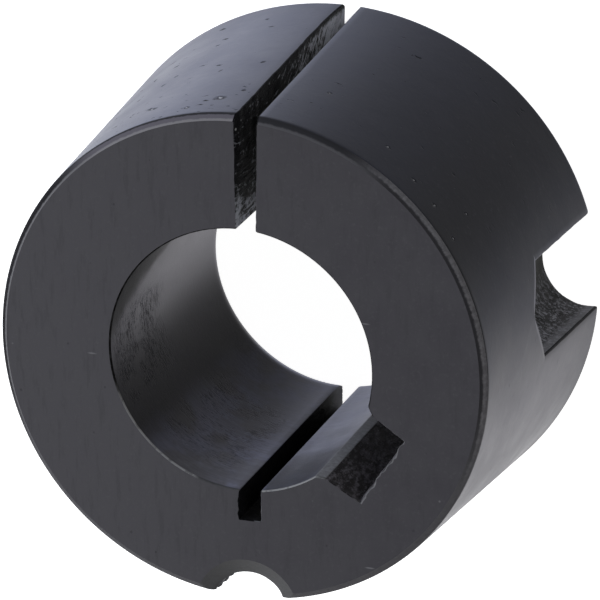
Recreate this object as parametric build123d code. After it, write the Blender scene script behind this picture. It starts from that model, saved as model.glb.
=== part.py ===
"""Split taper bushing: a keyed steel sleeve that clamps a shaft in a tapered hub.

The bushing stands on its large end. The origin is on the bore's axis, in the plane of
the large end face, with +Z towards the small end. The saw slit opens towards +Y.
All sizes are in millimetres and degrees.

One piece of steel carries every feature:
- a cone that narrows towards the small end and wedges into the hub,
- a keyed bore,
- a saw slit through one wall, and a relief kerf in the bore opposite it, which together
  let the sleeve close on the shaft,
- two plain half holes, blind from the large end, whose drilled floors take the set screws,
- one tapped half hole along the whole cone, for the screw that jacks the bushing out.
"""

import os
from math import cos, radians, sin, sqrt, tan

from build123d import *

# The cone.
large_end_diameter = 38.4
bushing_length = 22.2
taper_half_angle = 4.0
small_end_chamfer_across = 0.45
small_end_chamfer_along = 0.3
large_end_edge_break = 0.2

# The keyed bore.
bore_diameter = 19.0
bore_edge_break = 0.1
keyway_width = 6.0
keyway_depth = 2.8
keyway_direction = -34.5
keyway_corner_break = 0.5
keyway_root_radius = 0.25

# The saw kerfs: the slit goes right through the wall, the relief kerf stops in it.
slit_width = 1.65
relief_kerf_width = 1.55
relief_kerf_depth = 2.2
kerf_plane_offset = 0.65

# The two plain half holes for the set screws, drilled from the large end.
screw_hole_diameter = 6.9
screw_hole_pitch_radius = 18.6
screw_hole_depth = 10.8
screw_hole_direction = 6.2
screw_hole_count = 2
drill_point_angle = 118.0

# The tapped half hole for the jacking screw, modelled at the thread's minor diameter.
jack_hole_minor_diameter = 5.3
jack_hole_mouth_diameter = 6.8
jack_hole_pitch_radius = 18.2

# How far a cutter runs past the face that it leaves.
cutter_overrun = 2.0

large_end_radius = large_end_diameter / 2
small_end_radius = large_end_radius - bushing_length * tan(radians(taper_half_angle))
bore_radius = bore_diameter / 2


def cone_radius(height):
    """The cone's radius at a height above the large end face."""
    return large_end_radius - height * tan(radians(taper_half_angle))


def turned_blank():
    """The sleeve as it leaves the lathe: cone, bore and broken edges, in one revolve."""
    chamfer_start = bushing_length - small_end_chamfer_along
    section = Polyline(
        (bore_radius + bore_edge_break, 0),
        (large_end_radius - large_end_edge_break, 0),
        (cone_radius(large_end_edge_break), large_end_edge_break),
        (cone_radius(chamfer_start), chamfer_start),
        (small_end_radius - small_end_chamfer_across, bushing_length),
        (bore_radius + bore_edge_break, bushing_length),
        (bore_radius, bushing_length - bore_edge_break),
        (bore_radius, bore_edge_break),
        close=True,
    )
    return revolve(Plane.XZ * make_face(section), Axis.Z)


def along_the_sleeve(outline):
    """Carry a cutter's outline straight through both end faces."""
    cut = extrude(outline, bushing_length + 2 * cutter_overrun)
    return Pos(0, 0, -cutter_overrun) * cut


def kerf(width, floor_radius, direction):
    """A straight saw kerf from the bore's middle out to its floor."""
    strip = Rectangle(floor_radius, width, align=(Align.MIN, Align.CENTER))
    return along_the_sleeve(Pos(kerf_plane_offset, 0) * Rotation(0, 0, direction) * strip)


def keyway():
    """The broached keyway: rounded roots, and corners broken where it leaves the bore."""
    half_width = keyway_width / 2
    floor_radius = bore_radius + keyway_depth
    wall_start = sqrt(bore_radius**2 - half_width**2)
    break_end = wall_start + keyway_corner_break
    break_half_width = half_width + keyway_corner_break
    break_start = sqrt(bore_radius**2 - break_half_width**2)
    slot = Rectangle(floor_radius, keyway_width, align=(Align.MIN, Align.CENTER))
    root_corners = slot.vertices().sort_by(Axis.X)[-2:]
    slot = fillet(root_corners, keyway_root_radius)
    flare = Polyline(
        (0, -half_width),
        (break_start, -break_half_width),
        (break_end, -half_width),
        (break_end, half_width),
        (break_start, break_half_width),
        (0, half_width),
        close=True,
    )
    outline = slot + make_face(flare)
    return along_the_sleeve(Rotation(0, 0, keyway_direction) * outline)


def screw_hole(direction):
    """A blind hole from the large end with the drill's pointed floor."""
    radius = screw_hole_diameter / 2
    point_height = radius / tan(radians(drill_point_angle / 2))
    section = Polyline(
        (0, -cutter_overrun),
        (radius, -cutter_overrun),
        (radius, screw_hole_depth),
        (0, screw_hole_depth + point_height),
        close=True,
    )
    drill = revolve(Plane.XZ * make_face(section), Axis.Z)
    across = screw_hole_pitch_radius * cos(radians(direction))
    along = screw_hole_pitch_radius * sin(radians(direction))
    return Pos(across, along, 0) * drill


def jack_hole():
    """The tapping hole along the whole cone, countersunk at both ends."""
    radius = jack_hole_minor_diameter / 2
    mouth_radius = jack_hole_mouth_diameter / 2
    sink_depth = mouth_radius - radius
    section = Polyline(
        (0, -cutter_overrun),
        (mouth_radius, -cutter_overrun),
        (mouth_radius, 0),
        (radius, sink_depth),
        (radius, bushing_length - sink_depth),
        (mouth_radius, bushing_length),
        (mouth_radius, bushing_length + cutter_overrun),
        (0, bushing_length + cutter_overrun),
        close=True,
    )
    drill = revolve(Plane.XZ * make_face(section), Axis.Z)
    return Pos(kerf_plane_offset, -jack_hole_pitch_radius, 0) * drill


def bushing():
    """The finished sleeve: every cut taken out of the turned blank."""
    body = turned_blank()
    body -= keyway()
    body -= kerf(slit_width, large_end_radius + cutter_overrun, 90)
    body -= kerf(relief_kerf_width, bore_radius + relief_kerf_depth, -90)
    for number in range(screw_hole_count):
        body -= screw_hole(screw_hole_direction + number * 360 / screw_hole_count)
    body -= jack_hole()
    return body


def main():
    os.makedirs("parts", exist_ok=True)
    sleeve = bushing()
    sleeve.label = "bushing"
    export_step(sleeve, "parts/bushing.step")
    print("bushing", "volume", round(sleeve.volume, 1), "faces", len(sleeve.faces()))


main()
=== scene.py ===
"""A split taper bushing standing on its large end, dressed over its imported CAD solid."""

import bpy
import numpy as np
from mathutils import Matrix, Vector


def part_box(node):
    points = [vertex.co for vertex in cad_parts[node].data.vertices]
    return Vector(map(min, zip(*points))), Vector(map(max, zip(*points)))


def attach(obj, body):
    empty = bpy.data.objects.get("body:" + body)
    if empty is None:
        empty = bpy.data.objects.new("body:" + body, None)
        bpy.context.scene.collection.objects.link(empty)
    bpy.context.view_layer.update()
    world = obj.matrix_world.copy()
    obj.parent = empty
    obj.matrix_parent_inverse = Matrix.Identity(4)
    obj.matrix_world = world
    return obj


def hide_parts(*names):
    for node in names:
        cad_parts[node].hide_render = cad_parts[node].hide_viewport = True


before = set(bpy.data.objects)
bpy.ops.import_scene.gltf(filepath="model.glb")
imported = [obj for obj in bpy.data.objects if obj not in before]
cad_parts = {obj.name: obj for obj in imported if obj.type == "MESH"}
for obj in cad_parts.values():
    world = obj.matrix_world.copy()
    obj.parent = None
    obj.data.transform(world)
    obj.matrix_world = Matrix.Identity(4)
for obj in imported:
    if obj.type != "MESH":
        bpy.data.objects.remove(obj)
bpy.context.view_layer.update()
MM = 0.001

# The sleeve. One piece of iron, turned to a cone and bored, then broached, sawn, drilled
# and tapped. Its wall is one closed outline, worked out again at every height, so each cut
# narrows, ends or runs out through the cone as its cutter leaves it.

# Sizes are in millimetres, heights start at the large end, and angles turn about the
# bore's axis from +X towards +Y. First the turned sizes: cone, bore and their edges.
low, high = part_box("bushing")
LENGTH = (high.z - low.z) / MM
LARGE_RADIUS = 19.2
TAPER = np.tan(np.radians(4.0))
FOOT_BREAK = 0.2
HEAD_CHAMFER = 0.3
HEAD_CHAMFER_SLOPE = 1.5
BORE_RADIUS = 9.5
BORE_BREAK = 0.1
LEAD_IN = 0.8
LEAD_IN_SLOPE = 0.5

# The saw cuts, the slit and the relief kerf opposite it, and the broached keyway.
SAW_PLANE = 0.65
SLIT_HALF = 0.825
SLIT_EDGE = 0.02
SLIT_CLOSING = 0.28
SLIT_CLOSING_RISE = 1.6
RIGHT_LEAN_OUTSIDE = 0.06
RIGHT_LEAN_BY_BORE = 0.22
KERF_HALF = 0.775
KERF_FLOOR = 11.7
KERF_EDGE = 0.05
KEY_DIRECTION = np.radians(-34.5)
KEY_HALF = 3.0
KEY_FLOOR = 12.3
KEY_EDGE = 0.06
KEY_BREAK = 0.5
KEY_BREAK_ASIDE = 0.35

# The two blind half holes that take the set screws, each drilled from the foot.
SET_HOLE_RADIUS = 3.45
SET_HOLE_MOUTH = 0.3
SET_HOLE_MOUTH_DEPTH = 0.45
SET_HOLE_PITCH = 18.6
SET_HOLE_DEPTH = 10.8
SET_HOLE_DIRECTION = np.radians(6.2)
DRILL_SLOPE = np.tan(np.radians(59.0))

# The tapped half hole along the whole cone, countersunk at both ends.
TAP_RADIUS = 2.6
TAP_MOUTH = 3.8
TAP_SINK_SLOPE = np.tan(np.radians(60.0))
TAP_PITCH = 18.5
TAP_DIRECTION = np.radians(-88.9)
THREAD_PITCH = 1.27
THREAD_DEPTH = 0.13
THREAD_START = 0.7
TURN = 2 * np.pi


def eased(share):
    """A share held from 0 to 1 and eased at both: three times its square less twice its
    cube."""
    share = np.clip(share, 0, 1)
    return share * share * (3 - 2 * share)


def lumps(across, along, seed):
    """Smooth random lumps one unit apart, from -1 to 1: a lattice of random numbers,
    eased from each number to the next along both axes."""
    cells = 63
    lattice = np.random.default_rng(seed).uniform(-1, 1, (cells + 1, cells + 1))
    across, along = np.broadcast_arrays(across, along)
    i, j = np.floor(across).astype(int), np.floor(along).astype(int)
    u, v = eased(across - i), eased(along - j)
    i, j = i % cells, j % cells
    near = lattice[i, j] * (1 - u) + lattice[i + 1, j] * u
    far = lattice[i, j + 1] * (1 - u) + lattice[i + 1, j + 1] * u
    return near * (1 - v) + far * v


def chamfer(distance, size):
    """A 45 degree break: its size at the end face, less the distance from that face, and
    eased out to nothing."""
    softness = 0.2 * size
    return softness * np.logaddexp(0, (size - distance) / softness)


def both_ends(z, size):
    """The same break at the foot and at the head."""
    return chamfer(z, size) + chamfer(LENGTH - z, size)


def outside(z):
    """The turned outside: the large radius less the height times the taper, with its foot
    broken and its head chamfered."""
    cone = LARGE_RADIUS - z * TAPER
    return cone - chamfer(z, FOOT_BREAK) - HEAD_CHAMFER_SLOPE * chamfer(LENGTH - z, HEAD_CHAMFER)


# Where a blind hole's drilled point leaves the cone: its radius there is the pitch radius
# less the cone's.
point_reach = SET_HOLE_RADIUS + SET_HOLE_DEPTH * DRILL_SLOPE - SET_HOLE_PITCH + LARGE_RADIUS
RUNOUT = point_reach / (TAPER + DRILL_SLOPE)

# The heights of the outline: even, and closer together at the broken edges, at the blind
# holes' shoulders and where their points leave the cone.
foot_rows = np.array([0, 0.03, 0.07, 0.12, 0.17, 0.22, 0.28, 0.36])
head_rows = LENGTH - np.array([0, 0.03, 0.08, 0.13, 0.18, 0.23, 0.28, 0.33, 0.39, 0.45])
shoulder_rows = SET_HOLE_DEPTH + np.array([-0.03, 0, 0.05])
runout_rows = RUNOUT + np.array([-0.15, -0.08, -0.04, -0.015, -0.004, 0.004, 0.03, 0.08])
even_rows = np.linspace(0.45, LENGTH - 0.56, 132)
z = np.unique(np.concatenate([foot_rows, even_rows, shoulder_rows, runout_rows, head_rows]))
radius = outside(z)


def arc(start, end, circle, count):
    """Points on a circle about the bore's axis: the angle runs evenly from start to end."""
    t = np.linspace(0, 1, count + 1)[:, None]
    angle = start + t * (end - start)
    return np.stack([circle * np.cos(angle), circle * np.sin(angle)], 2)


def half_hole(pitch, direction, size, count, bare=None):
    """A half hole along the outside. Its mouth is where its circle meets the outside, by
    the cosine rule, worked out a few times over because size changes with the angle. Its
    wall runs between them round the far side. Above the height bare it has run out, and
    the same points lie on the cone, spread wider with the height.
    Returns the mouth's first and last angle about the bore's axis, and the wall's points."""
    mouth = []
    for side in (-1, 1):
        turn = np.full_like(z, 1.5)
        for _ in range(6):
            hole = size(direction + side * turn, z)
            cosine = (radius**2 - pitch**2 - hole**2) / (2 * pitch * hole)
            turn = np.arccos(np.clip(cosine, -1, 1))
        mouth.append(turn)
    t = np.linspace(0, 1, count + 1)[:, None]
    turn = -mouth[0] + t * (mouth[0] + mouth[1] - TURN)
    hole = size(direction + turn, z)
    across = pitch + hole * np.cos(turn)
    aside = hole * np.sin(turn)
    if bare is not None:
        least, more, rise = 0.03, 3, 4
        spread = (least + more * eased((z - bare) / rise)) / radius * (2 * t - 1)
        gone = (z > bare)[None, :]
        across = np.where(gone, radius * np.cos(spread), across)
        aside = np.where(gone, radius * np.sin(spread), aside)
    x = across * np.cos(direction) - aside * np.sin(direction)
    y = across * np.sin(direction) + aside * np.cos(direction)
    first = direction + np.arctan2(aside[0], across[0])
    last = direction + np.arctan2(aside[-1], across[-1])
    return first, last, np.stack([x, y], 2)


def blind_size(angle, height):
    """The drill's radius, with its mouth eased open: full up to the shoulder, and then
    narrowing to its point, but never so small that it leaves the cone."""
    mouth = SET_HOLE_MOUTH * np.clip(1 - height / SET_HOLE_MOUTH_DEPTH, 0, 1) ** 2
    full = SET_HOLE_RADIUS + mouth + 0.03 * lumps(angle * 5 + 9, height * 1.3, seed=5)
    point = SET_HOLE_RADIUS - (height - SET_HOLE_DEPTH) * DRILL_SLOPE
    least = SET_HOLE_PITCH - outside(height)
    return np.where(height <= SET_HOLE_DEPTH, full, np.maximum(point, least))


def tapped_size(angle, height):
    """The tapped wall: a rounded thread form carried up a right-hand helix, and a
    countersink at both ends, its mouth's radius less its slope times the depth."""
    phase = (height / THREAD_PITCH - angle / TURN + THREAD_START) % 1
    flank = np.abs(2 * phase - 1)
    groove = eased((flank - 0.25) / 0.6)
    wear_and_painted_highlight = 0.03 * lumps(angle * 3 + 20, height * 1.1, seed=8)
    thread = TAP_RADIUS + THREAD_DEPTH * groove + wear_and_painted_highlight
    depth = np.minimum(height, LENGTH - height)
    return np.maximum(thread, TAP_MOUTH - depth * TAP_SINK_SLOPE)


def straight(start, end, count, bump=None):
    """Points on a straight wall from start to end, each a pair of arrays over the
    heights, moved square to it by bump, which depends on the share of the way and fades
    out at both ends."""
    t = np.linspace(0, 1, count + 1)[:, None]
    start, end = np.stack(start, -1), np.stack(end, -1)
    points = start + t[:, :, None] * (end - start)
    if bump is not None:
        way = end - start
        way = way / np.linalg.norm(way, axis=-1, keepdims=True)
        normal = np.stack([-way[:, 1], way[:, 0]], -1)
        fade = np.clip(np.minimum(t, 1 - t) * 12, 0, 1)
        points = points + (bump(t, z) * fade)[:, :, None] * normal
    return points


def key_point(out, aside):
    """A point given in the keyway's own directions: out from the axis, and to its side."""
    c, s = np.cos(KEY_DIRECTION), np.sin(KEY_DIRECTION)
    return out * c - aside * s, out * s + aside * c


def on_circle(circle, x, sign):
    """The point of a circle about the bore's axis at that x, above or below it."""
    return x, sign * np.sqrt(circle**2 - x**2)


def angle_of(point):
    """The angle of a point about the bore's axis."""
    return np.arctan2(point[1], point[0])


def saw_marks(t, height):
    """How far the saw's wall wanders: smooth lumps, longer up the wall than across it."""
    return 0.025 * lumps(t * 22 + 7, height * 0.9, seed=11)


def torn_edge(t):
    """How far the broken edge at a cut's mouth strays along the edge, in two sizes of lump."""
    coarse = 0.12 * lumps(t * 13 + 5, 0.5, seed=29)
    return coarse + 0.07 * lumps(t * 29 + 2, 0.5, seed=31)


def broach_marks(t, height):
    """The broached wall's tearing, drawn out along the cut. At the head the floor's edge is
    torn into a ragged burr, which dies out within half a millimetre."""
    drawn = 0.03 * lumps(t * 9 + 3, height * 0.5, seed=14)
    return drawn + torn_edge(t) * np.exp((height - LENGTH) / 0.3)


def kerf_marks(t, height):
    """The relief kerf's chipped side: the saw's lumps, and chips at the mouth."""
    chips = 0.11 * lumps(t * 9 + 1, 0.5, seed=33) + 0.04
    return saw_marks(t, height) + chips * np.exp((height - LENGTH) / 0.25)


# The bore and the cuts at every height. The slit's right wall leans in, more so by the
# bore. Its left wall leans in at the foot, and has a burr along the outside, which ends
# just short of the head. The keyway's lower root is torn outwards at the head.
bore = BORE_RADIUS + LEAD_IN_SLOPE * chamfer(z, LEAD_IN) + chamfer(LENGTH - z, BORE_BREAK)
slit = SLIT_HALF + both_ends(z, SLIT_EDGE)
kerf = KERF_HALF + both_ends(z, KERF_EDGE)
kerf_floor = KERF_FLOOR + both_ends(z, KERF_EDGE)
key = KEY_HALF + both_ends(z, KEY_EDGE)
key_floor = KEY_FLOOR + both_ends(z, KEY_EDGE)
burr = 0.08 + 0.05 * lumps(z * 0.55, 1.5, seed=37) + 0.035 * lumps(z * 1.6, 4.5, seed=41)
burr -= 0.14 * np.exp((z - LENGTH) / 0.6)
closed = SLIT_CLOSING * np.exp(-z / SLIT_CLOSING_RISE)

right_out = on_circle(radius, SAW_PLANE + slit - RIGHT_LEAN_OUTSIDE, 1)
right_in = on_circle(bore, SAW_PLANE + slit - RIGHT_LEAN_BY_BORE, 1)
left_out = on_circle(radius, SAW_PLANE - slit + burr + closed, 1)
left_in = on_circle(bore, SAW_PLANE - slit + closed, 1)
kerf_right = on_circle(bore, SAW_PLANE + kerf, -1)
kerf_left = on_circle(bore, SAW_PLANE - kerf, -1)
floor_right = (SAW_PLANE + kerf, -kerf_floor)
floor_left = (SAW_PLANE - kerf, -kerf_floor)
break_side = key + KEY_BREAK_ASIDE
break_start = np.sqrt(bore**2 - break_side**2)
break_end = np.sqrt(bore**2 - key**2) + KEY_BREAK
torn_corner = 0.22 * np.exp((z - LENGTH) / 0.3)
key_high, key_low = key_point(break_start, break_side), key_point(break_start, -break_side)
wall_high, wall_low = key_point(break_end, key), key_point(break_end, -key)
root_high = key_point(key_floor, key)
root_low = key_point(key_floor + torn_corner, torn_corner - key)
hole_far = half_hole(SET_HOLE_PITCH, SET_HOLE_DIRECTION + np.pi, blind_size, 26, RUNOUT)
hole_near = half_hole(SET_HOLE_PITCH, SET_HOLE_DIRECTION, blind_size, 30, RUNOUT)
hole_tapped = half_hole(TAP_PITCH, TAP_DIRECTION + TURN, tapped_size, 38)

# The finishes, numbered as their materials go on below.
CONE, DRILLED, TAPPED, SAWN, BORED, BROACHED, FACED = range(7)
EDGE, BURR, CHAMFER, RIM, KERF, FLARE = range(7, 13)
walls = []


def wall(points, cut, corner=EDGE, rounding=0.1, count=3):
    """Adds the outline's next wall with its finish, and how the corner that it starts from
    is finished and rounded: a smooth bend from the last wall to this one, with count
    points."""
    walls.append((points, cut, corner, rounding, count))


# Round the outside from the slit, in along the slit's right wall, and back round the bore.
wall(arc(angle_of(left_out), hole_far[0], radius, 42), CONE, BURR, 0.26, 5)
wall(hole_far[2], DRILLED)
wall(arc(hole_far[1], hole_tapped[0], radius, 36), CONE)
wall(hole_tapped[2], TAPPED, TAPPED, 0.6, 6)
wall(arc(hole_tapped[1] - TURN, hole_near[0], radius, 38), CONE, TAPPED, 0.4, 5)
wall(hole_near[2], DRILLED, BURR, 0.16)
wall(arc(hole_near[1], angle_of(right_out), radius, 42), CONE)
wall(straight(right_out, right_in, 36, saw_marks), SAWN, BURR, 0.06)
wall(arc(angle_of(right_in), angle_of(key_high), bore, 32), BORED)
wall(straight(key_high, wall_high, 3), FLARE, FLARE, 0.06)
wall(straight(wall_high, root_high, 10, saw_marks), BROACHED, FLARE, 0.05)
wall(straight(root_high, root_low, 60, broach_marks), BROACHED, BROACHED, 0.25, 5)
wall(straight(root_low, wall_low, 14, saw_marks), BROACHED, BROACHED, 0.12, 4)
wall(straight(wall_low, key_low, 3), FLARE, FLARE, 0.05)
wall(arc(angle_of(key_low), angle_of(kerf_right), bore, 10), BORED, FLARE, 0.06)
wall(straight(kerf_right, floor_right, 10, saw_marks), KERF, KERF, 0.06)
wall(straight(floor_right, floor_left, 6), KERF, KERF, 0.15)
wall(straight(floor_left, kerf_left, 18, kerf_marks), KERF, KERF, 0.15)
wall(arc(angle_of(kerf_left), angle_of(left_in) - TURN, bore, 60), BORED, BORED, 0.06)
wall(straight(left_in, left_out, 40, saw_marks), SAWN, BURR, 0.08)

# The walls joined. Each corner bends by a quadratic curve between a point on the last wall
# and one on the next, never past the nearest point of either.
outline, cut_of, drilled_of = [], [], []
for number, (points, cut, bend, rounding, count) in enumerate(walls):
    before = walls[number - 1][0][-2]
    corner, after = points[0], points[1]
    back, ahead = before - corner, after - corner
    back_size = np.linalg.norm(back, axis=1, keepdims=True)
    ahead_size = np.linalg.norm(ahead, axis=1, keepdims=True)
    size = np.minimum(rounding, 0.45 * np.minimum(back_size, ahead_size))
    s = np.linspace(0, 1, count)[:, None, None]
    a, b = corner + back / back_size * size, corner + ahead / ahead_size * size
    outline.append((1 - s) ** 2 * a + 2 * s * (1 - s) * corner + s**2 * b)
    outline.append(points[1:-1])
    cut_of.append(np.full(count + len(points) - 2, cut))
    cut_of[-1][: count - 1] = bend
    drilled_of.append(np.full(count + len(points) - 2, cut == DRILLED))
    drilled_of[-1][:count] |= walls[number - 1][1] == DRILLED
outline = np.concatenate(outline)
cut_of = np.concatenate(cut_of)
drilled_of = np.concatenate(drilled_of)
across, up = outline.shape[:2]

# One closed skin: four-cornered faces up the wall, and one flat face at each end.
vertices = np.empty((across, up, 3), np.float32)
vertices[:, :, :2] = outline
vertices[:, :, 2] = z
vertices *= MM
i = np.arange(across)[:, None]
k = np.arange(up - 1)[None, :]
j = (i + 1) % across
quads = np.stack([i * up + k, j * up + k, j * up + k + 1, i * up + k + 1], 2).reshape(-1, 4)
foot = np.arange(across)[::-1] * up
head = np.arange(across) * up + up - 1
corners = np.concatenate([quads.ravel(), foot, head]).astype(np.int32)
starts = np.concatenate([np.arange(len(quads)) * 4, [quads.size, quads.size + across]])
mesh = bpy.data.meshes.new("bushing_sleeve")
mesh.vertices.add(across * up)
mesh.vertices.foreach_set("co", vertices.ravel())
mesh.loops.add(len(corners))
mesh.loops.foreach_set("vertex_index", corners)
mesh.polygons.add(len(starts))
mesh.polygons.foreach_set("loop_start", starts.astype(np.int32))

# A face has its wall's finish, but the cone's above a blind hole, and its own where it
# lies on a broken edge at the head. These are the depths of those edges, and where the
# kerf's right side begins.
CHAMFER_BAND = 0.4
RIM_BAND = 0.14
KERF_BAND = 0.1
KERF_SIDE = SAW_PLANE + 0.5
height = z[None, :-1]
down = LENGTH - height
finishes = np.repeat(cut_of[:, None], up - 1, axis=1)
finishes = np.where(drilled_of[:, None] & (height > RUNOUT), CONE, finishes)
finishes = np.where((finishes == CONE) & (down < CHAMFER_BAND), CHAMFER, finishes)
bored = (finishes == BORED) | (finishes == FLARE)
finishes = np.where(bored & (down < RIM_BAND), RIM, finishes)
kerf_side = (finishes == KERF) & (outline[:, :-1, 0] > KERF_SIDE)
finishes = np.where(kerf_side & (down < KERF_BAND), EDGE, finishes)
finishes = np.concatenate([finishes.ravel(), [FACED, FACED]])
mesh.polygons.foreach_set("material_index", finishes.astype(np.int32))

# Smooth, but for the two end faces' edges and the sharp bends.
SHARP_BEND = 38
mesh.update(calc_edges=True)
mesh.shade_smooth()
mesh.set_sharp_from_angle(angle=np.radians(SHARP_BEND))
ends = np.empty(2 * len(mesh.edges), np.int32)
mesh.edges.foreach_get("vertices", ends)
row = ends.reshape(-1, 2) % up
rim = (row == 0).all(1) | (row == up - 1).all(1)
sharp = np.zeros(len(mesh.edges), bool)
mesh.attributes["sharp_edge"].data.foreach_get("value", sharp)
mesh.attributes["sharp_edge"].data.foreach_set("value", sharp | rim)
sleeve = bpy.data.objects.new("bushing_sleeve", mesh)
bpy.context.collection.objects.link(sleeve)


class Wire:
    """One socket of a material's nodes. Arithmetic on it adds Math nodes."""

    def __init__(self, tree, socket=None):
        self.tree = tree
        self.socket = socket

    @staticmethod
    def found(sockets, name):
        """The socket in use that has that name or place, or None where none is in use."""
        usable = [socket for socket in sockets if socket.enabled]
        if isinstance(name, int):
            return usable[name] if usable else None
        return next(socket for socket in usable if socket.name == name)

    def node(self, kind, settings=None, values=None, out=0):
        """Adds a node of that kind: its settings first, then its sockets' values or wires,
        by name or place. Returns the wire of one of its outputs."""
        made = self.tree.nodes.new("ShaderNode" + kind)
        for name, value in (settings or {}).items():
            setattr(made, name, value)
        for name, value in (values or {}).items():
            socket = self.found(made.inputs, name)
            if isinstance(value, Wire):
                self.tree.links.new(value.socket, socket)
            else:
                socket.default_value = value
        return Wire(self.tree, self.found(made.outputs, out))

    def math(self, operation, *values):
        """A Math node on these values. The wire itself goes in only as one of them."""
        return self.node("Math", {"operation": operation}, dict(enumerate(values)))

    def __add__(self, other):
        return self.math("ADD", self, other)

    def __mul__(self, other):
        return self.math("MULTIPLY", self, other)

    def __sub__(self, other):
        return self.math("SUBTRACT", self, other)

    def __rsub__(self, other):
        return self.math("SUBTRACT", other, self)

    __radd__, __rmul__ = __add__, __mul__

    def vector(self, operation, *values):
        """A Vector Math node on this vector and the values."""
        return self.node("VectorMath", {"operation": operation}, dict(enumerate([self, *values])))

    def stretched(self, x, y, z):
        """These coordinates, each axis times its own number."""
        return self.vector("MULTIPLY", (x, y, z))

    def axes(self, names="xyz"):
        """The numbers of a vector along the axes named."""
        return [self.node("SeparateXYZ", values={0: self}, out="xyz".index(n)) for n in names]

    def joined(self, y, z):
        """A vector of this number and two more."""
        return self.node("CombineXYZ", values={0: self, 1: y, 2: z})

    def noise(self, scale, detail=3.0, rough=0.5, distortion=0.0, out=0):
        """Cloudy noise at these coordinates, its lumps one over scale apart."""
        values = {
            "Vector": self,
            "Scale": scale,
            "Detail": detail,
            "Roughness": rough,
            "Distortion": distortion,
        }
        return self.node("TexNoise", values=values, out=out)

    def ramp(self, start, end):
        """This number eased from 0 at start to 1 at end."""
        values = {"Value": self, "From Min": start, "From Max": end}
        return self.node("MapRange", {"interpolation_type": "SMOOTHSTEP"}, values)

    def between(self, start, full, last, end):
        """1 where this number lies between full and last, and 0 outside start and end."""
        return self.ramp(start, full) * self.ramp(end, last)

    def most(self, *others):
        """The largest of this number and the others."""
        largest = self
        for other in others:
            largest = self.math("MAXIMUM", largest, other)
        return largest

    def tint(self, dark, light):
        """A colour from dark to light as this number goes from 0 to 1."""
        values = {"Factor": self}
        for name, shade in (("A", dark), ("B", light)):
            values[name] = shade if isinstance(shade, Wire) else (*shade, 1)
        return self.node("Mix", {"data_type": "RGBA"}, values)

    def flecks(self, size, share, fleck):
        """Scattered flecks at these coordinates: in a share of the cells of a cell pattern
        that size, 1 at the cell's point and 0 from the distance fleck on."""
        away = self.node("TexVoronoi", values={"Vector": self, "Scale": 1 / size})
        colour = Wire(self.tree, away.socket.node.outputs["Color"])
        chosen = colour.axes("x")[0]
        return (away * size).ramp(fleck, 0.3 * fleck) * self.math("LESS_THAN", chosen, share)

    def spot(self, x, y, z, size):
        """One spot: 1 at that point and 0 from the distance size on."""
        return self.vector("DISTANCE", (x, y, z)).ramp(size, 0.35 * size)

    def turn(self):
        """The angle about the bore's axis in degrees, from +X towards +Y."""
        x, y = self.axes("xy")
        return self.math("ARCTAN2", y, x) * (180 / np.pi)

    def lean(self):
        """The same angle less half a turn, so it runs smoothly over the -X side."""
        x, y = self.axes("xy")
        return self.math("ARCTAN2", 0.0 - y, 0.0 - x) * (180 / np.pi)

    def depth(self):
        """How far this place lies under the cone: the cone's radius at its height, less its
        distance from the bore's axis."""
        x, y, z = self.axes()
        return LARGE_RADIUS - z * TAPER - self.math("SQRT", x * x + y * y)


def blank(owner):
    """Empties the node tree of a material or a world. Returns a wire that adds its nodes."""
    owner.use_nodes = True
    owner.node_tree.nodes.clear()
    return Wire(owner.node_tree)


OXIDE_IOR = 1.1
SLANT_START = 0.5
SLANT_FULL = 0.78
PLAIN_SHINE = (0.84, 0.825, 0.9)
BLUE_SHINE = (0.69, 0.74, 1.0)


def blacken(dress, gloss):
    """A black oxide finish. dress is given the place in millimetres, and returns the
    colour, the roughness, the height in millimetres, how blue the shine is and how dull.
    The oxide is matt seen square on and shines at a slant: gloss is its share there."""
    material = bpy.data.materials.new(dress.__name__)
    wire = blank(material)
    place = wire.node("TexCoord", out="Object").stretched(1 / MM, 1 / MM, 1 / MM)
    colour, roughness, height, blue, dull = dress(place)
    normal = wire.node("Bump", values={"Height": height, "Distance": MM})
    slant = wire.node("LayerWeight", values={"Blend": 0.5}, out="Facing")
    values = {"Base Color": colour, "Roughness": roughness, "Normal": normal, "IOR": OXIDE_IOR}
    oxide = wire.node("BsdfPrincipled", values=values)
    shine = blue.tint(PLAIN_SHINE, BLUE_SHINE)
    values = {"Base Color": shine, "Roughness": roughness, "Normal": normal, "Metallic": 1.0}
    film = wire.node("BsdfPrincipled", values=values)
    share = slant.ramp(SLANT_START, SLANT_FULL) * gloss * (1.0 - dull)
    surface = wire.node("MixShader", values={0: share, 1: oxide, 2: film})
    wire.node("OutputMaterial", values={"Surface": surface})
    mesh.materials.append(material)


def on_cone(degrees, rise):
    """The point of the cone at an angle and a height: its radius there is the large radius
    less the height times the taper."""
    angle, out = np.radians(degrees), LARGE_RADIUS - rise * TAPER
    return out * np.cos(angle), out * np.sin(angle), rise


# The chips and pits that stand out on the cone: angle in degrees, height and size. The
# smaller ones are scattered on the cone unrolled, at its mean radius.
BRIGHT_CHIPS = (
    (58, 18.5, 0.13),
    (49, 19.6, 0.11),
    (42, 19.9, 0.1),
    (34, 20.5, 0.11),
    (36, 17.1, 0.1),
    (97.5, 19.1, 0.24),
    (114.5, 18.7, 0.16),
    (104, 20.6, 0.12),
)
DARK_PITS = (
    (115.5, 18.5, 0.36),
    (113.6, 18.9, 0.3),
    (95, 12.2, 0.26),
    (104, 13.4, 0.2),
    (119, 12.6, 0.24),
    (126, 9.0, 0.24),
    (121, 8.2, 0.28),
    (112, 6.8, 0.2),
    (104, 3.0, 0.22),
    (93.5, 17.6, 0.24),
)
MEAN_RADIUS = 18.0


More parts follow.
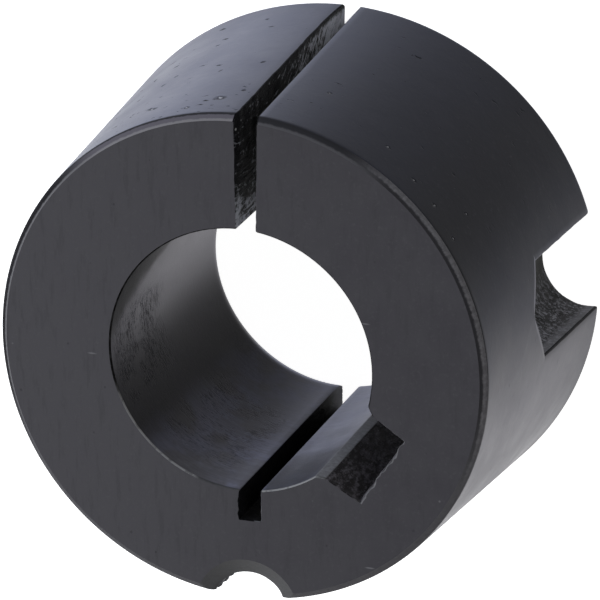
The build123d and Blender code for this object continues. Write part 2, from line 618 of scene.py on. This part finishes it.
def turned_cone(place):
    """The cone: ground smooth, with a bluish black oxide. Its colour is cloudy, with short dark
    pits that run round it and a few chips in dark rings. It is bluest and a little lighter on the
    slit's side, a blue tint that is partly a painted sheen, and painted shade darkens the side
    facing +X."""
    y, z = place.axes("yz")
    turn = place.turn()
    cloud = place.noise(0.22, 4.0, 0.55)
    patch = place.noise(0.5, 3.0, 0.6, 0.5)
    fine = place.noise(2.2, 5.0, 0.65)
    lines = place.stretched(0.25, 0.25, 9.0).noise(1.0, 4.0, 0.7)
    # The marks have ragged edges, because the place that they go by strays both ways.
    stray = place.noise(2.4, out="Color").stretched(0.7, 0.7, 0.7)
    ragged = place.vector("ADD", stray).vector("SUBTRACT", (0.35, 0.35, 0.35))
    a, b, c = ragged.axes()
    flat = (place.math("ARCTAN2", b, a) * MEAN_RADIUS).joined(c, 0.0)
    marked = turn.between(20.0, 75.0, 150.0, 190.0) * 0.85 + 0.15
    pits = flat.stretched(0.5, 1.2, 1.0).flecks(0.75, 0.3, 0.17) * patch.ramp(0.46, 0.56)
    dots = flat.stretched(0.9, 1.2, 1.0).flecks(0.45, 0.22, 0.09) * patch.ramp(0.54, 0.64)
    head = z.ramp(14.5, 18.5) * turn.between(80.0, 95.0, 120.0, 135.0)
    clumps = flat.stretched(0.7, 1.0, 1.0).flecks(0.42, 0.34, 0.13) * patch.ramp(0.5, 0.6) * head
    chips, halo = place.flecks(2.1, 0.07, 0.11), place.flecks(2.1, 0.07, 0.26)
    for degrees, rise, size in BRIGHT_CHIPS:
        chip = on_cone(degrees, rise)
        chips = chips.most(ragged.spot(*chip, size))
        halo = halo.most(ragged.spot(*chip, size * 2.2))
    for degrees, rise, size in DARK_PITS:
        halo = halo.most(ragged.spot(*on_cone(degrees, rise), size))
    dark = (pits.most(dots, clumps) * marked).most(halo * 0.75) * (1.0 - chips)
    # Painted shade: the side facing +X is darkened, standing in for the shade that falls there.
    side = turn.between(-75.0, -45.0, 30.0, 60.0)
    # Bluer and a little lighter towards the slit: a blue tint of the oxide, and partly a painted
    # sheen.
    blue = (y + cloud * 8.0).ramp(2.0, 18.0)
    shade = cloud.ramp(0.3, 0.7).tint((0.012, 0.0122, 0.016), (0.022, 0.0222, 0.028))
    shade = (blue * 0.35).tint(shade, (0.02, 0.022, 0.036))
    shade = (side * 0.9).tint(shade, (0.006, 0.0058, 0.007))
    shade = (fine.ramp(0.55, 0.8) * 0.4).tint(shade, (0.035, 0.036, 0.042))
    shade = dark.tint(shade, (0.003, 0.003, 0.004))
    shade = chips.tint(shade, (0.3, 0.3, 0.32))
    rough = 0.3 + cloud.ramp(0.3, 0.7) * 0.08 + lines * 0.06 + dark * 0.2 + patch * 0.06
    height = lines * 0.002 + fine * 0.006 - dark * 0.04 + chips * 0.03 + patch * 0.02
    return shade, rough, height, blue, dark * 0.85 + fine * 0.16 + cloud * 0.2


def chamfer_painted_light(place):
    """The chamfer at the cone's head, painted in bands of light and shade by angle: a painted
    highlight along the cone on one side and along the end face on the others, each with a painted
    shade line beside it, and elsewhere an even grey lightened as painted light. out is how far
    across it a place lies, from 0 at the end face to 1 at the cone."""
    turn, lean = place.turn(), place.lean()
    z = place.axes("z")[0]
    grain = place.noise(3.2, 4.0, 0.7)
    out = (LENGTH - z + (grain - 0.5) * 0.12) * (1 / HEAD_CHAMFER)
    right = turn.between(-30.0, 0.0, 50.0, 72.0)
    upper = turn.between(50.0, 66.0, 86.0, 92.0)
    slit_side = turn.between(86.0, 90.0, 122.0, 142.0)
    left = lean.between(-55.0, -38.0, 6.0, 34.0)
    # The bands below are painted highlights and painted shade, set by the angle about the axis;
    # the even grey elsewhere is lifted as painted light.
    wear_and_painted_highlight = grain.ramp(0.35, 0.65).tint((0.085, 0.083, 0.089), (0.125, 0.122, 0.13))
    band = out.ramp(0.82, 0.98).tint((0.1, 0.094, 0.11), (0.03, 0.03, 0.034))
    shade = grain.ramp(0.3, 0.7).tint((0.062, 0.061, 0.066), (0.076, 0.075, 0.081))
    shade = right.tint(shade, out.ramp(0.28, 0.6).tint((0.024, 0.0235, 0.026), wear_and_painted_highlight))
    shade = upper.tint(shade, out.ramp(0.2, 0.5).tint((0.07, 0.069, 0.075), (0.022, 0.022, 0.025)))
    shade = slit_side.tint(shade, out.ramp(0.2, 0.4).tint((0.17, 0.165, 0.175), band))
    shade = left.tint(shade, out.ramp(0.15, 0.4).tint((0.13, 0.128, 0.135), (0.012, 0.012, 0.014)))
    return shade, 0.5 + grain * 0.1, grain * 0.015, grain, 1.0 - right * 0.5


def faced_end(place):
    """The end faces: faced square, matt and faintly mottled, with small bright grains and short
    scratches. Painted shade makes them darker towards +X, on the side of the keyway."""
    x = place.axes("x")[0]
    cloud = place.noise(0.35, 5.0, 0.6)
    fine = place.noise(3.5, 4.0, 0.7)
    brushed = place.stretched(2.2, 0.35, 1.0).noise(1.0, 4.0, 0.65)
    grains = place.flecks(1.3, 0.12, 0.12) * cloud.ramp(0.42, 0.54)
    pits = place.vector("ADD", (7.3, 2.1, 0.0)).flecks(0.9, 0.14, 0.13)
    scratch = place.vector("ADD", (3.0, 5.0, 0.0)).stretched(0.3, 1.6, 1.0)
    scratch = scratch.flecks(1.2, 0.1, 0.14)
    # Painted shade: the colour darkens from -X to +X, standing in for light falling off across the
    # face.
    shade = x.ramp(-18.0, 17.0).tint((0.054, 0.0525, 0.0585), (0.0395, 0.038, 0.0435))
    shade = (cloud.ramp(0.3, 0.7) * 0.3).tint(shade, (0.055, 0.0545, 0.059))
    shade = (brushed.ramp(0.5, 0.68) * 0.3).tint(shade, (0.032, 0.0315, 0.035))
    shade = (fine.ramp(0.5, 0.8) * 0.35).tint(shade, (0.07, 0.069, 0.074))
    shade = (pits * 0.5).tint(shade, (0.026, 0.026, 0.029))
    shade = (grains * 0.5 + scratch * 0.45).tint(shade, (0.17, 0.17, 0.18))
    height = fine * 0.008 + grains * 0.01 - pits * 0.02
    return shade, 0.5 + fine * 0.15, height, cloud, pits


def bored_wall(place):
    """The bore: faint feed marks run round it, torn into short dark dashes where the tool
    chattered. Painted shade makes it olive and dull by the mouth on the slit's side, and a painted
    sheen makes it light, blue and cloudy low down; that painted sheen is darker towards the head
    between the kerf and the keyway."""
    x, y, z = place.axes()
    lean = place.lean()
    coarse = place.stretched(1.5, 1.5, 4.5).noise(1.0, 4.0, 0.7)
    dashes = place.stretched(2.8, 2.8, 7.0).noise(1.0, 3.0, 0.65)
    feed = place.stretched(0.35, 0.35, 6.0).noise(1.0, 3.0, 0.6)
    cloud = place.noise(0.28, 3.0, 0.6)
    patch = place.noise(0.5, 3.0, 0.6)
    fine = place.noise(3.5, 4.0, 0.7)
    side = lean.between(-16.0, 0.0, 22.0, 32.0) * z.between(11.0, 15.5, 20.5, 22.0)
    under = lean.between(38.0, 50.0, 76.0, 86.0) * z.between(7.0, 10.0, 18.0, 20.5)
    chatter = side.most(under * 0.62) * patch.ramp(0.36, 0.52)
    dark = (coarse * 0.55 + dashes * 0.45).ramp(0.49, 0.6) * (chatter * 0.9 + 0.06)
    light = (coarse * 0.4 + dashes * 0.6).ramp(0.5, 0.4) * chatter
    # Painted sheen: low down, towards -Y, the colour is lightened and blued in place of the
    # reflection seen there.
    low = (0.0 - y).ramp(5.6, 8.8)
    # The painted sheen darkens towards the head between the kerf and the keyway.
    sheen_dimmed_near_head = x.ramp(1.2, 1.8) * low * (z + patch * 10.0).ramp(15.0, 24.0)
    # Painted shade: olive and duller by the mouth on the slit's side.
    olive = (z - lean * 0.28 + patch * 3.0).ramp(22.6, 26.4) * lean.ramp(14.0, -8.0)
    middle = y.between(0.0, -3.5, -6.0, -8.0)
    painted_blue_sheen = cloud.ramp(0.42, 0.6).tint((0.125, 0.122, 0.14), (0.18, 0.184, 0.25))
    shade = patch.ramp(0.3, 0.7).tint((0.013, 0.0125, 0.0155), (0.021, 0.0202, 0.025))
    shade = low.tint(shade, painted_blue_sheen)
    shade = (patch.ramp(0.56, 0.4) * low * 0.45).tint(shade, (0.075, 0.073, 0.082))
    shade = (feed.ramp(0.35, 0.65) * 0.2).tint(shade, (0.011, 0.011, 0.013))
    shade = (sheen_dimmed_near_head * 0.75).tint(shade, (0.03, 0.03, 0.033))
    shade = (fine.ramp(0.6, 0.75) * 0.3).tint(shade, (0.06, 0.06, 0.068))
    shade = olive.tint(shade, (0.019, 0.0195, 0.018))
    shade = (light * 0.25).tint(shade, (0.06, 0.06, 0.066))
    shade = (dark * 0.8).tint(shade, (0.005, 0.005, 0.006))
    rough = 0.37 + patch * 0.12 + dark * 0.1
    height = feed * 0.002 + fine * 0.01 - dark * 0.035 + light * 0.01
    dull = (dark * 0.7).most(olive * 0.7, sheen_dimmed_near_head * 0.6, middle * 0.55)
    return shade, rough, height, low, dull


def bore_rim(place):
    """The break at the bore's mouth: a painted highlight below, painted shade black on the slit's
    side, and an even grey between.
    """
    lean = place.lean()
    grain = place.noise(2.0, 3.0, 0.6)
    bright = lean.between(14.0, 28.0, 68.0, 73.0).most(lean.between(96.0, 100.0, 124.0, 130.0))
    dull = lean.between(68.0, 73.0, 96.0, 100.0)
    # Painted highlight and painted shade, set by the angle about the axis.
    shade = bright.tint((0.006, 0.006, 0.006), (0.25, 0.25, 0.255))
    shade = dull.tint(shade, (0.07, 0.07, 0.074))
    shade = (grain.ramp(0.5, 0.65) * 0.5).tint(shade, (0.04, 0.04, 0.042))
    return shade, 0.45, grain * 0.02, grain, 1.0 - bright


# The saw blade's middle, and the place and size of the painted highlights at the mouth's corner.
BLADE_MIDDLE_Y = 36.0
BLADE_MIDDLE_Z = 20.0
GLINT_SPOT = (-0.175, 17.4, 21.4, 1.5)


def sawn_wall(place):
    """The slit's walls: scored in long arcs by the blade, with painted light making them lighter
    by the bore and at the large end and black between, a painted shadow along the outside edge,
    and painted highlight flecks at the mouth's corner."""
    x, y, z = place.axes()
    drop, reach = z - BLADE_MIDDLE_Z, y - BLADE_MIDDLE_Y
    blade = place.math("SQRT", drop * drop + reach * reach)
    stroke = blade.joined(z * 0.2, x * 0.2).noise(2.6, 4.0, 0.65, 0.6)
    torn = place.noise(2.4, 5.0, 0.7)
    depth = place.depth()
    # Painted shadow: black along the outside edge.
    lip = (depth + torn * 0.8).ramp(0.95, 0.6)
    # Painted light: the ridges lighten towards the large end and the bore, where light comes in.
    painted_light_by_openings = z.ramp(15.0, 0.5).most(y.ramp(13.4, 9.8) * 0.8)
    ridge = (stroke * 0.55 + torn * 0.45 + painted_light_by_openings * 0.16).ramp(0.545, 0.68) * (1.0 - lip)
    # Painted light: lighter still by the foot.
    foot = (z + torn * 3.0).ramp(6.0, 2.5) * (1.0 - lip)
    edge = (depth + torn * 0.3).between(0.3, 0.45, 0.8, 1.1) * torn.ramp(0.5, 0.6)
    # Painted highlights: bright flecks at the mouth's corner and along the outside.
    painted_glint = place.flecks(0.38, 0.4, 0.15) * (place.spot(*GLINT_SPOT) + edge * 0.3)
    shade = ridge.tint((0.008, 0.008, 0.009), (0.3, 0.31, 0.34))
    shade = (foot * 0.6).tint(shade, (0.33, 0.34, 0.37))
    shade = painted_glint.math("MINIMUM", painted_glint, 1.0).tint(shade, (0.85, 0.85, 0.85))
    return shade, 0.5 - ridge * 0.15, stroke * 0.1 + torn * 0.08, ridge, 1.0 - ridge


def burr_and_painted_shadow(place):
    """The lip that the saw turned over along its cut, coloured near black as painted shadow."""
    grain = place.noise(2.5, 4.0, 0.7)
    # Painted shadow: near black.
    shade = grain.ramp(0.5, 0.75).tint((0.0035, 0.0035, 0.005), (0.014, 0.014, 0.017))
    return shade, 0.5, grain * 0.04, grain, 1.0


def kerf_wall(place):
    """The relief kerf: the same saw's, painted near black as shade inside the narrow cut, with
    painted light at its far end by the foot.
    """
    z = place.axes("z")[0]
    torn = place.noise(2.5, 5.0, 0.7)
    # Painted shade: near black inside the kerf; painted light: lighter towards the foot.
    shade = torn.ramp(0.45, 0.7).tint((0.003, 0.003, 0.0035), (0.01, 0.01, 0.012))
    shade = z.ramp(3.6, 0.8).tint(shade, (0.085, 0.085, 0.088))
    return shade, 0.5 + torn * 0.1, torn * 0.04, torn, z.ramp(0.8, 3.6)


def broached_wall(place):
    """The keyway: near black, torn in short strokes by the broach's teeth, and rubbed along
    its floor's edge at the head."""
    x, y, z = place.axes()
    torn = place.stretched(2.2, 2.2, 0.9).noise(1.0, 5.0, 0.7)
    grain = place.noise(3.4, 4.0, 0.7)
    ridge = (torn * 0.6 + grain * 0.4).ramp(0.45, 0.62)
    out = x * np.cos(KEY_DIRECTION) + y * np.sin(KEY_DIRECTION)
    rubbed = out.ramp(11.8, 12.0) * (z + grain * 0.1).ramp(22.1, 22.17)
    shade = ridge.tint((0.024, 0.022, 0.024), (0.14, 0.132, 0.148))
    shade = (place.flecks(0.6, 0.06, 0.09) * 0.6).tint(shade, (0.3, 0.3, 0.31))
    shade = (rubbed * 0.7).tint(shade, (0.13, 0.13, 0.135))
    return shade, 0.5 + grain * 0.15, torn * 0.1 + grain * 0.06, grain, ridge * 0.3 + 0.5


def keyway_flare(place):
    """The keyway's broken corners: filed after the blacking, so they are the lightest."""
    grain = place.noise(2.5, 4.0, 0.7)
    shade = grain.ramp(0.4, 0.65).tint((0.16, 0.16, 0.172), (0.225, 0.225, 0.24))
    return shade, 0.45 + grain * 0.1, grain * 0.02, grain, grain


def drilled_wall(place):
    """The blind half holes: rough and pitted from the drill, olive black on the side of
    the bore's slit, and with bright grains and a paler lip on the other."""
    x, y, z = place.axes()
    grain = place.noise(3.6, 5.0, 0.75)
    lump = place.noise(1.2, 3.0, 0.6)
    feed = place.stretched(0.5, 0.5, 3.0).noise(1.0, 3.0, 0.6)
    low = (x * y * (1 / 17) + lump * 2.0).ramp(2.6, -0.3)
    ridge = (grain * 0.8 + lump * 0.2).ramp(0.47, 0.6)
    lip = (place.depth() + grain * 0.5).ramp(1.3, 0.75) * low
    shade = low.tint((0.026, 0.026, 0.024), (0.012, 0.012, 0.013))
    shade = (ridge * (low * 0.96 + 0.04)).tint(shade, (0.27, 0.27, 0.3))
    shade = (feed.ramp(0.5, 0.65) * 0.25).tint(shade, (0.034, 0.035, 0.031))
    shade = (lip * 0.6).tint(shade, (0.24, 0.24, 0.265))
    height = grain * (low * 0.09 + 0.012) + feed * 0.015
    return shade, 0.5 + grain * 0.1, height, ridge, 1.0 - low * 0.5


def tapped_wall(place):
    """The tapped half hole: dull, with its thread's crests and its countersink rubbed."""
    x, z = place.axes("xz")
    grain = place.noise(2.8, 5.0, 0.7)
    head = (z + grain * 0.3).ramp(21.1, 21.9)
    sink = (x + grain * 1.4).ramp(-1.6, 2.6).tint((0.062, 0.062, 0.064), (0.07, 0.07, 0.072))
    shade = grain.ramp(0.4, 0.7).tint((0.04, 0.04, 0.042), (0.066, 0.066, 0.07))
    return head.tint(shade, sink), 0.5 + grain * 0.1, grain * 0.04, grain, grain * 0.5 + 0.4


def worn_edge(place):
    """The broken corners of the other cuts, rubbed until the black thins."""
    grain = place.noise(2.0, 4.0, 0.7)
    shade = grain.ramp(0.4, 0.62).tint((0.03, 0.03, 0.033), (0.12, 0.12, 0.13))
    return shade, 0.4 + grain * 0.1, grain * 0.02, grain, grain * 0.4


for dress, gloss in (
    (turned_cone, 0.156),
    (drilled_wall, 0.08),
    (tapped_wall, 0.08),
    (sawn_wall, 0.12),
    (bored_wall, 0.2),
    (broached_wall, 0.05),
    (faced_end, 0.2),
    (worn_edge, 0.15),
    (burr_and_painted_shadow, 0.05),
    (chamfer_painted_light, 0.08),
    (bore_rim, 0.1),
    (kerf_wall, 0.05),
    (keyway_flare, 0.1),
):
    blacken(dress, gloss)
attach(sleeve, "root")
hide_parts("bushing")

# The floor: a plain white sheet that the bushing stands on, and that keeps its shadow. It
# lies a hair under the foot, and from below it lets the foot be seen.
FLOOR_HALF = 3.0
FLOOR_Z = -0.02 * MM
ways = ((-1, -1), (1, -1), (1, 1), (-1, 1))
floor_corners = [(x * FLOOR_HALF, y * FLOOR_HALF, FLOOR_Z) for x, y in ways]
floor_mesh = bpy.data.meshes.new("floor")
floor_mesh.from_pydata(floor_corners, [], [(0, 1, 2, 3)])
floor = bpy.data.objects.new("floor", floor_mesh)
bpy.context.collection.objects.link(floor)


def seen(wire):
    """1 for the rays that show the backdrop, straight from the camera or through gloss and
    glass, and 0 for those that only light the bushing."""
    rays = ("Is Camera Ray", "Is Glossy Ray", "Is Transmission Ray")
    camera, *others = [wire.node("LightPath", out=ray) for ray in rays]
    return camera.most(*others)


paper = bpy.data.materials.new("paper")
wire = blank(paper)
sheet = wire.node("BsdfDiffuse", values={"Color": (0.7, 0.7, 0.7, 1)})
glow = wire.node("Emission", values={"Color": seen(wire).tint((0, 0, 0), (0.96, 0.96, 0.96))})
front = wire.node("AddShader", values={0: sheet, 1: glow})
below = wire.node("NewGeometry", out="Backfacing")
surface = {0: below, 1: front, 2: wire.node("BsdfTransparent")}
wire.node("OutputMaterial", values={"Surface": wire.node("MixShader", values=surface)})
floor_mesh.materials.append(paper)

# The room: white where the camera sees it, a soft grey light elsewhere.
world = bpy.data.worlds.new("room")
bpy.context.scene.world = world
wire = blank(world)
sky = wire.node("Background", values={"Color": seen(wire).tint((0.25, 0.25, 0.25), (1, 1, 1))})
wire.node("OutputWorld", values={"Surface": sky})

LAMP_DISTANCE = 0.6
LAMP_AIM = Vector((0, 0, 0.011))


def softbox(name, azimuth, elevation, size, power, colour=(1, 1, 1)):
    """A square area lamp aimed at the bushing from an azimuth and elevation, in degrees."""
    a, e = np.radians(azimuth), np.radians(elevation)
    way = Vector((np.cos(a) * np.cos(e), np.sin(a) * np.cos(e), np.sin(e)))
    lamp = bpy.data.lights.new(name, "AREA")
    lamp.size = size
    lamp.energy = power
    lamp.color = colour
    made = bpy.data.objects.new(name, lamp)
    made.location = way * LAMP_DISTANCE + LAMP_AIM
    made.rotation_mode = "QUATERNION"
    made.rotation_quaternion = way.to_track_quat("Z", "Y")
    bpy.context.collection.objects.link(made)


softbox("key", azimuth=217, elevation=48, size=0.25, power=2.6)
softbox("left", azimuth=141, elevation=33, size=0.25, power=1.4, colour=(0.75, 0.84, 1.0))
softbox("rim", azimuth=35, elevation=37, size=0.2, power=0.5)

# The camera: the photograph's viewpoint, rolled so that the bushing lies tipped towards the
# lower left.
AIM = Vector((0.518, 0.670, 11.1)) * MM
DISTANCE = 368.381
azimuth, elevation, roll = np.radians([47.637, 62.480, 134.630])
level = np.cos(elevation)
away = Vector((np.cos(azimuth) * level, np.sin(azimuth) * level, np.sin(elevation)))
upright = (Vector((0, 0, 1)) - away * away.z).normalized()
beside = (-away).cross(upright)
top = upright * np.cos(roll) + beside * np.sin(roll)
right = (-away).cross(top)
lens = bpy.data.cameras.new("photo_view")
lens.sensor_width = 36
lens.lens = 314.77
lens.clip_start, lens.clip_end = 0.01, 20
camera = bpy.data.objects.new("photo_view", lens)
turned = Matrix((right, top, away)).transposed().to_4x4()
camera.matrix_world = Matrix.Translation(AIM + away * DISTANCE * MM) @ turned
bpy.context.collection.objects.link(camera)
bpy.context.scene.camera = camera
bpy.context.scene.view_settings.view_transform = "Standard"
